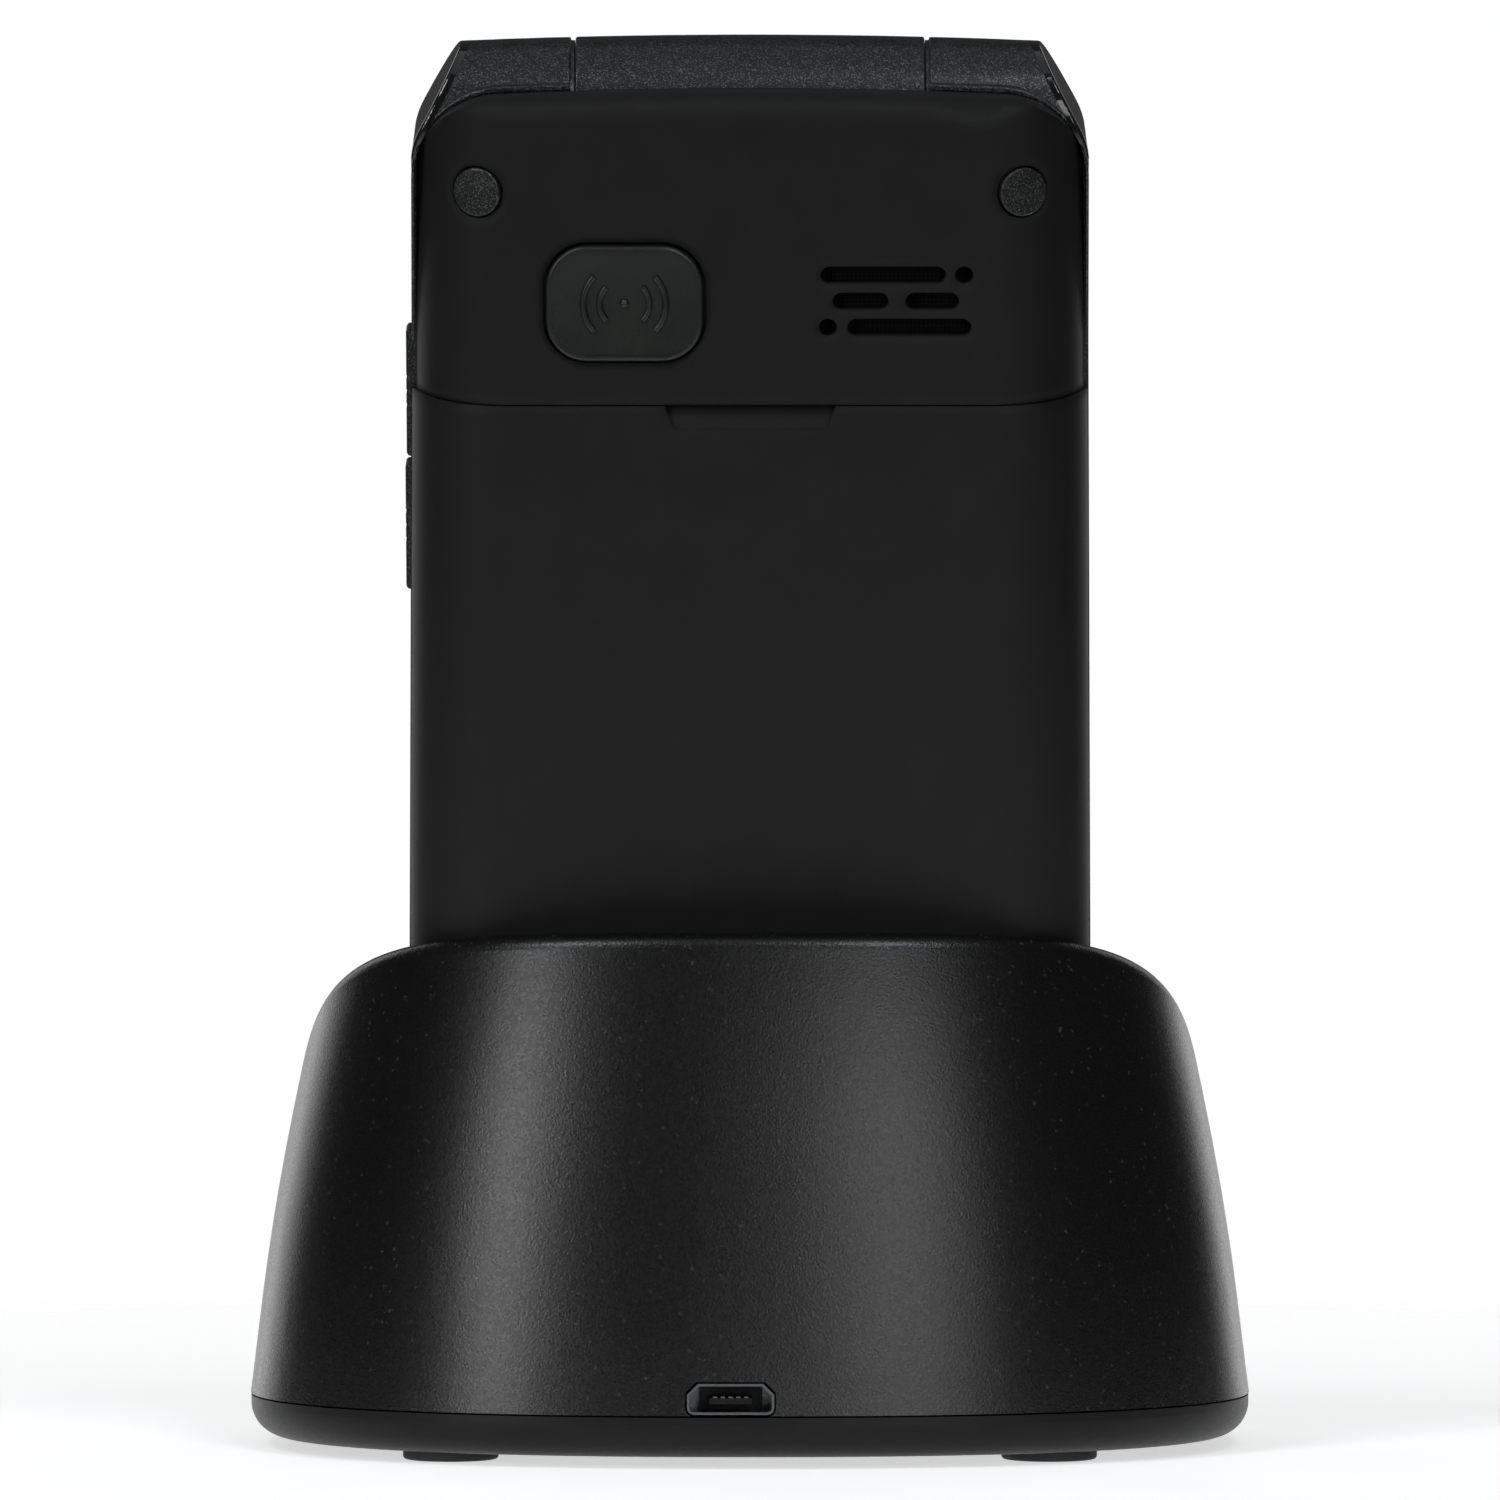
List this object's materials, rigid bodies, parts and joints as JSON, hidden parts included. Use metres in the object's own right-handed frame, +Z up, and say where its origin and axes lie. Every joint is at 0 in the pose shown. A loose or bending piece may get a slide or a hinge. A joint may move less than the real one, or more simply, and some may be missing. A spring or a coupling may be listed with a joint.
{
  "type": "folding telephone with charging cradle",
  "caption": "Closed clamshell telephone with alarm key on its back, standing leaned back in a weighted desk charging cradle with a micro-USB inlet.",
  "frame": {"origin": "centre of the bounding box on the surface that the cradle stands on", "axes": "+Z up; -Y is the front, where the lid opens; +Y is the back, with the alarm key and the inlet; +X is to the right seen from the front"},
  "size_m": [0.0848, 0.0658, 0.1186],
  "materials": {
    "cradle_black": "fine spark-textured black moulding, semi-matt",
    "tray_black": "smooth matt black moulding",
    "rubber_black": "matt black rubber",
    "soft_touch_black": "soft-touch matt black paint",
    "speckle_grey": "dark grey metallic paint with a fine sparkle",
    "gloss_black": "polished black",
    "key_rubber": "dark grey-black silicone",
    "key_grey": "light grey key tops",
    "key_green": "green key",
    "key_red": "red key",
    "window": "dark transparent window with a printed border",
    "display": "liquid crystal panel",
    "nickel": "bright nickel plate",
    "gold": "gold-plated contact",
    "steel": "zinc-plated steel",
    "circuit_green": "green solder mask",
    "mesh_black": "woven dust screen",
    "battery_grey": "battery pack",
    "light_clear": "translucent light guide"
  },
  "bodies": {
    "cradle": {"cradle_shell": "cradle_black", "cradle_tray": "tray_black", "cradle_feet": "rubber_black", "cradle_screws": "steel", "cradle_ballast": "steel", "cradle_board": "circuit_green", "usb_shell": "nickel", "usb_tongue": "tray_black", "usb_contacts": "nickel", "light_pipe": "light_clear", "contact_block": "tray_black"},
    "phone": {"rear_housing": "soft_touch_black", "battery_cover": "soft_touch_black", "screw_plugs": "speckle_grey", "housing_screws": "steel", "loudspeaker": "tray_black", "speaker_mesh": "mesh_black", "front_frame": "speckle_grey", "hinge_cap_left": "gloss_black", "hinge_cap_right": "gloss_black", "main_board": "circuit_green", "dome_sheet": "mesh_black", "battery": "battery_grey", "sim_holder": "nickel", "vibration_motor": "steel", "charge_pads": "gold", "hinge_cartridge": "steel", "hinge_pin": "steel"},
    "lid": {"lid_inner_shell": "speckle_grey", "lid_outer_shell": "gloss_black", "main_window": "window", "main_display": "display", "front_window": "window", "front_display": "display", "lid_board": "circuit_green", "earpiece": "tray_black", "lid_bumpers": "rubber_black"},
    "alarm_key": {"alarm_key": "key_rubber"},
    "volume_up_key": {"volume_up_key": "speckle_grey"},
    "volume_down_key": {"volume_down_key": "speckle_grey"},
    "contact_pin_left": {"contact_pin_left": "gold"},
    "contact_pin_right": {"contact_pin_right": "gold"},
    "key_1": {"key_1": "key_grey"},
    "key_2": {"key_2": "key_grey"},
    "key_3": {"key_3": "key_grey"},
    "key_4": {"key_4": "key_grey"},
    "key_5": {"key_5": "key_grey"},
    "key_6": {"key_6": "key_grey"},
    "key_7": {"key_7": "key_grey"},
    "key_8": {"key_8": "key_grey"},
    "key_9": {"key_9": "key_grey"},
    "key_star": {"key_star": "key_grey"},
    "key_0": {"key_0": "key_grey"},
    "key_hash": {"key_hash": "key_grey"},
    "key_call": {"key_call": "key_green"},
    "key_soft_left": {"key_soft_left": "key_grey"},
    "key_end": {"key_end": "key_red"},
    "key_soft_right": {"key_soft_right": "key_grey"},
    "key_navigation": {"key_navigation": "key_grey"}
  },
  "joints": [
    {"name": "phone_lift", "type": "slide", "parent": "cradle", "child": "phone", "axis": [0, 0.2419, 0.9703], "range_m": [0, 0.06]},
    {"name": "lid_hinge", "type": "hinge", "parent": "phone", "child": "lid", "pos_m": [0, 0.02272, 0.11207], "axis": [-1, 0, 0], "range_deg": [0, 160]},
    {"name": "alarm_key_press", "type": "slide", "parent": "phone", "child": "alarm_key", "axis": [0, -0.9703, 0.2419], "range_m": [0, 0.0004], "stiffness_N_per_m": 60, "springref_m": -0.003},
    {"name": "volume_up_press", "type": "slide", "parent": "phone", "child": "volume_up_key", "axis": [-1, 0, 0], "range_m": [0, 0.0003], "stiffness_N_per_m": 60, "springref_m": -0.003},
    {"name": "volume_down_press", "type": "slide", "parent": "phone", "child": "volume_down_key", "axis": [-1, 0, 0], "range_m": [0, 0.0003], "stiffness_N_per_m": 60, "springref_m": -0.003},
    {"name": "key_1_press", "type": "slide", "parent": "phone", "child": "key_1", "axis": [0, 0.9703, -0.2419], "range_m": [0, 0.00035], "stiffness_N_per_m": 60, "springref_m": -0.003},
    {"name": "key_2_press", "type": "slide", "parent": "phone", "child": "key_2", "axis": [0, 0.9703, -0.2419], "range_m": [0, 0.00035], "stiffness_N_per_m": 60, "springref_m": -0.003},
    {"name": "key_3_press", "type": "slide", "parent": "phone", "child": "key_3", "axis": [0, 0.9703, -0.2419], "range_m": [0, 0.00035], "stiffness_N_per_m": 60, "springref_m": -0.003},
    {"name": "key_4_press", "type": "slide", "parent": "phone", "child": "key_4", "axis": [0, 0.9703, -0.2419], "range_m": [0, 0.00035], "stiffness_N_per_m": 60, "springref_m": -0.003},
    {"name": "key_5_press", "type": "slide", "parent": "phone", "child": "key_5", "axis": [0, 0.9703, -0.2419], "range_m": [0, 0.00035], "stiffness_N_per_m": 60, "springref_m": -0.003},
    {"name": "key_6_press", "type": "slide", "parent": "phone", "child": "key_6", "axis": [0, 0.9703, -0.2419], "range_m": [0, 0.00035], "stiffness_N_per_m": 60, "springref_m": -0.003},
    {"name": "key_7_press", "type": "slide", "parent": "phone", "child": "key_7", "axis": [0, 0.9703, -0.2419], "range_m": [0, 0.00035], "stiffness_N_per_m": 60, "springref_m": -0.003},
    {"name": "key_8_press", "type": "slide", "parent": "phone", "child": "key_8", "axis": [0, 0.9703, -0.2419], "range_m": [0, 0.00035], "stiffness_N_per_m": 60, "springref_m": -0.003},
    {"name": "key_9_press", "type": "slide", "parent": "phone", "child": "key_9", "axis": [0, 0.9703, -0.2419], "range_m": [0, 0.00035], "stiffness_N_per_m": 60, "springref_m": -0.003},
    {"name": "key_star_press", "type": "slide", "parent": "phone", "child": "key_star", "axis": [0, 0.9703, -0.2419], "range_m": [0, 0.00035], "stiffness_N_per_m": 60, "springref_m": -0.003},
    {"name": "key_0_press", "type": "slide", "parent": "phone", "child": "key_0", "axis": [0, 0.9703, -0.2419], "range_m": [0, 0.00035], "stiffness_N_per_m": 60, "springref_m": -0.003},
    {"name": "key_hash_press", "type": "slide", "parent": "phone", "child": "key_hash", "axis": [0, 0.9703, -0.2419], "range_m": [0, 0.00035], "stiffness_N_per_m": 60, "springref_m": -0.003},
    {"name": "key_call_press", "type": "slide", "parent": "phone", "child": "key_call", "axis": [0, 0.9703, -0.2419], "range_m": [0, 0.00035], "stiffness_N_per_m": 60, "springref_m": -0.003},
    {"name": "key_soft_left_press", "type": "slide", "parent": "phone", "child": "key_soft_left", "axis": [0, 0.9703, -0.2419], "range_m": [0, 0.00035], "stiffness_N_per_m": 60, "springref_m": -0.003},
    {"name": "key_end_press", "type": "slide", "parent": "phone", "child": "key_end", "axis": [0, 0.9703, -0.2419], "range_m": [0, 0.00035], "stiffness_N_per_m": 60, "springref_m": -0.003},
    {"name": "key_soft_right_press", "type": "slide", "parent": "phone", "child": "key_soft_right", "axis": [0, 0.9703, -0.2419], "range_m": [0, 0.00035], "stiffness_N_per_m": 60, "springref_m": -0.003},
    {"name": "key_navigation_press", "type": "slide", "parent": "phone", "child": "key_navigation", "axis": [0, 0.9703, -0.2419], "range_m": [0, 0.00035], "stiffness_N_per_m": 60, "springref_m": -0.003},
    {"name": "contact_pin_left_press", "type": "slide", "parent": "cradle", "child": "contact_pin_left", "axis": [0, -0.2419, -0.9703], "range_m": [0, 0.0008], "stiffness_N_per_m": 60, "springref_m": -0.003},
    {"name": "contact_pin_right_press", "type": "slide", "parent": "cradle", "child": "contact_pin_right", "axis": [0, -0.2419, -0.9703], "range_m": [0, 0.0008], "stiffness_N_per_m": 60, "springref_m": -0.003}
  ]
}
